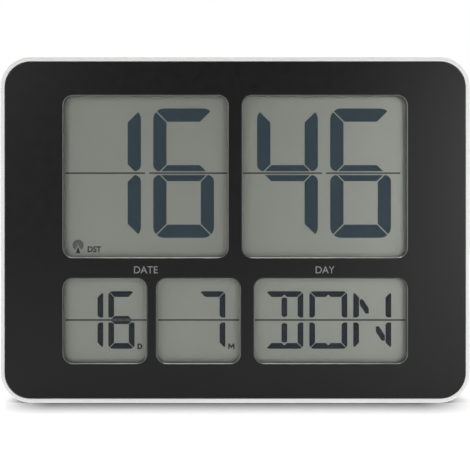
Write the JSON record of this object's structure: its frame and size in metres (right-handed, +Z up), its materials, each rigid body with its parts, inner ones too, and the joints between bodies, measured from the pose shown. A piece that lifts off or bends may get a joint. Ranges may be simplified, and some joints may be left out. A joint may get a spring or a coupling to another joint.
{
  "type": "digital wall clock",
  "caption": "Digital wall clock: white rounded case, black front with liquid crystal time, date and weekday windows, keyholes, folding stand and battery door on the back.",
  "frame": {"origin": "middle of the case's width and depth, on the flat bottom edge that it stands on", "axes": "+X to the right seen from the front, -Y out of the display, +Z up"},
  "size_m": [0.28, 0.03, 0.2062],
  "materials": {
    "white_shell": "fine satin",
    "black_panel": "satin with polished bevels",
    "clear_lens": "clear acrylic",
    "foam": "matt foam",
    "clear_film": "clear film",
    "lcd_glass": "clear",
    "lcd_field": "grey-green, matt",
    "lcd_reflector": "matt",
    "lcd_segments": "dark blue-grey",
    "holder_plastic": "plain moulded",
    "screw_steel": "zinc plated",
    "connector_rubber": "striped silicone",
    "board": "solder mask",
    "chip_resin": "moulded resin",
    "metal_can": "drawn can",
    "capacitor_sleeve": "shrink sleeve",
    "switch_plastic": "plain moulded",
    "button_plastic": "satin",
    "cell_sleeve": "plain printed sleeve",
    "contact_metal": "nickel plated",
    "red_insulation": "plain",
    "black_insulation": "plain",
    "ferrite": "matt ceramic",
    "copper": "enamelled wire",
    "grey_ribbon": "ribbon"
  },
  "bodies": {
    "case": {"rear_case": "white_shell", "front_panel": "black_panel", "window_lens": "clear_lens", "lens_gasket": "foam", "lcd_front_polariser": "clear_film", "lcd_front_glass": "lcd_glass", "hour_segments": "lcd_segments", "minute_segments": "lcd_segments", "date_segments": "lcd_segments", "month_segments": "lcd_segments", "weekday_segments": "lcd_segments", "lcd_rear_glass": "lcd_field", "lcd_reflector": "lcd_reflector", "lcd_holder": "holder_plastic", "holder_screws": "screw_steel", "zebra_strip": "connector_rubber", "main_board": "board", "board_screws": "screw_steel", "controller_chip": "chip_resin", "quartz_crystal": "metal_can", "capacitors": "capacitor_sleeve", "switch_housings": "switch_plastic", "upper_cell": "cell_sleeve", "lower_cell": "cell_sleeve", "positive_contact": "contact_metal", "negative_contact": "contact_metal", "link_contact": "contact_metal", "positive_lead": "red_insulation", "negative_lead": "black_insulation", "ferrite_rod": "ferrite", "antenna_coil": "copper", "antenna_leads": "copper", "receiver_board": "board", "receiver_chip": "chip_resin", "receiver_screws": "screw_steel", "receiver_ribbon": "grey_ribbon", "case_screws": "screw_steel"},
    "stand": {"stand_leg": "white_shell"},
    "door": {"battery_cover": "white_shell"},
    "set_key": {"set_button": "button_plastic", "set_plunger": "switch_plastic"},
    "up_key": {"up_button": "button_plastic", "up_plunger": "switch_plastic"},
    "down_key": {"down_button": "button_plastic", "down_plunger": "switch_plastic"},
    "wave_key": {"wave_button": "button_plastic", "wave_plunger": "switch_plastic"}
  },
  "joints": [
    {"name": "stand_hinge", "type": "hinge", "parent": "case", "child": "stand", "pos_m": [0, 0.0128, 0.094], "axis": [1, 0, 0], "range_deg": [0, 35]},
    {"name": "battery_cover_hinge", "type": "hinge", "parent": "case", "child": "door", "pos_m": [0, 0.0133, 0.1043], "axis": [-1, 0, 0], "range_deg": [0, 90]},
    {"name": "set_press", "type": "slide", "parent": "case", "child": "set_key", "axis": [0, -1, 0], "range_m": [0, 0.0005], "stiffness_N_per_m": 800, "springref_m": -0.0005},
    {"name": "up_press", "type": "slide", "parent": "case", "child": "up_key", "axis": [0, -1, 0], "range_m": [0, 0.0005], "stiffness_N_per_m": 800, "springref_m": -0.0005},
    {"name": "down_press", "type": "slide", "parent": "case", "child": "down_key", "axis": [0, -1, 0], "range_m": [0, 0.0005], "stiffness_N_per_m": 800, "springref_m": -0.0005},
    {"name": "wave_press", "type": "slide", "parent": "case", "child": "wave_key", "axis": [0, -1, 0], "range_m": [0, 0.0005], "stiffness_N_per_m": 800, "springref_m": -0.0005}
  ]
}
